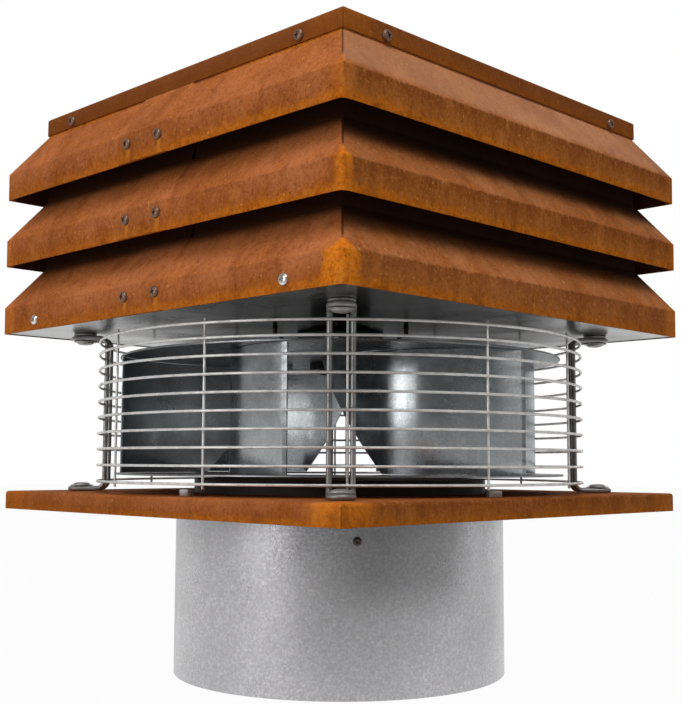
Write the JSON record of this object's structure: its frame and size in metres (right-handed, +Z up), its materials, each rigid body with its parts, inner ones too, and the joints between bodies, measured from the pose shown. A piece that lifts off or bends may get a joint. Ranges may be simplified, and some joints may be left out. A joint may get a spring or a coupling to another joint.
{
  "type": "chimney draught fan",
  "caption": "Square chimney draught fan: round flue spigot, base plate, caged backward-curved rotor and a louvred weathering-steel hood over the motor.",
  "frame": {"origin": "centre of the flue spigot at its lower end", "axes": "+Z up along the rotor axis; the hood and base sides run along X and Y"},
  "size_m": [0.4078, 0.415, 0.4663],
  "materials": {
    "weathering_steel": "rust patina on weathering steel sheet",
    "galvanised_sheet": "spangled zinc on steel sheet",
    "zinc_wire": "dull zinc on wire and rod",
    "zinc_fastener": "zinc plated",
    "black_steel": "black, semi-matt",
    "motor_paint": "dark grey, semi-matt",
    "dark_fastener": "darkened steel",
    "bright_steel": "ground steel",
    "box_plastic": "matt"
  },
  "bodies": {
    "housing": {"base_plate": "weathering_steel", "louvre_lower": "weathering_steel", "louvre_middle": "weathering_steel", "louvre_upper": "weathering_steel", "lid": "weathering_steel", "spigot_pipe": "galvanised_sheet", "underplate": "galvanised_sheet", "hood_post_front": "galvanised_sheet", "hood_post_right": "galvanised_sheet", "hood_post_back": "galvanised_sheet", "hood_post_left": "galvanised_sheet", "wire_guard": "zinc_wire", "rod_loop_front": "zinc_wire", "rod_loop_right": "zinc_wire", "rod_loop_back": "zinc_wire", "rod_loop_left": "zinc_wire", "foot_bolt_right": "zinc_fastener", "foot_bolt_back": "zinc_fastener", "foot_bolt_left": "zinc_fastener", "foot_bolt_front": "zinc_fastener", "head_bolt_right": "zinc_fastener", "head_bolt_back": "zinc_fastener", "head_bolt_left": "zinc_fastener", "head_bolt_front": "zinc_fastener", "side_bolt_left": "zinc_fastener", "side_bolt_right": "zinc_fastener", "side_bolt_back_right": "zinc_fastener", "side_bolt_back_left": "zinc_fastener", "inlet_collar": "black_steel", "motor_casing": "motor_paint", "motor_end_cover": "motor_paint", "motor_bolt_right": "dark_fastener", "motor_bolt_back": "dark_fastener", "motor_bolt_left": "dark_fastener", "motor_bolt_front": "dark_fastener", "motor_bearing_lower": "bright_steel", "motor_bearing_upper": "bright_steel", "terminal_box": "box_plastic", "terminal_box_lid": "box_plastic", "cable_gland": "box_plastic"},
    "rotor": {"rotor_disc": "galvanised_sheet", "rotor_inlet_ring": "galvanised_sheet", "rotor_blade_1": "galvanised_sheet", "rotor_blade_2": "galvanised_sheet", "rotor_blade_3": "galvanised_sheet", "rotor_blade_4": "galvanised_sheet", "rotor_blade_5": "galvanised_sheet", "rotor_blade_6": "galvanised_sheet", "rotor_hub": "black_steel", "hub_clamp": "black_steel", "hub_nut": "bright_steel", "motor_shaft": "bright_steel"}
  },
  "joints": [
    {"name": "rotor_spin", "type": "hinge", "parent": "housing", "child": "rotor", "pos_m": [0, 0, 0.2547], "axis": [0, 0, 1], "continuous": true}
  ]
}
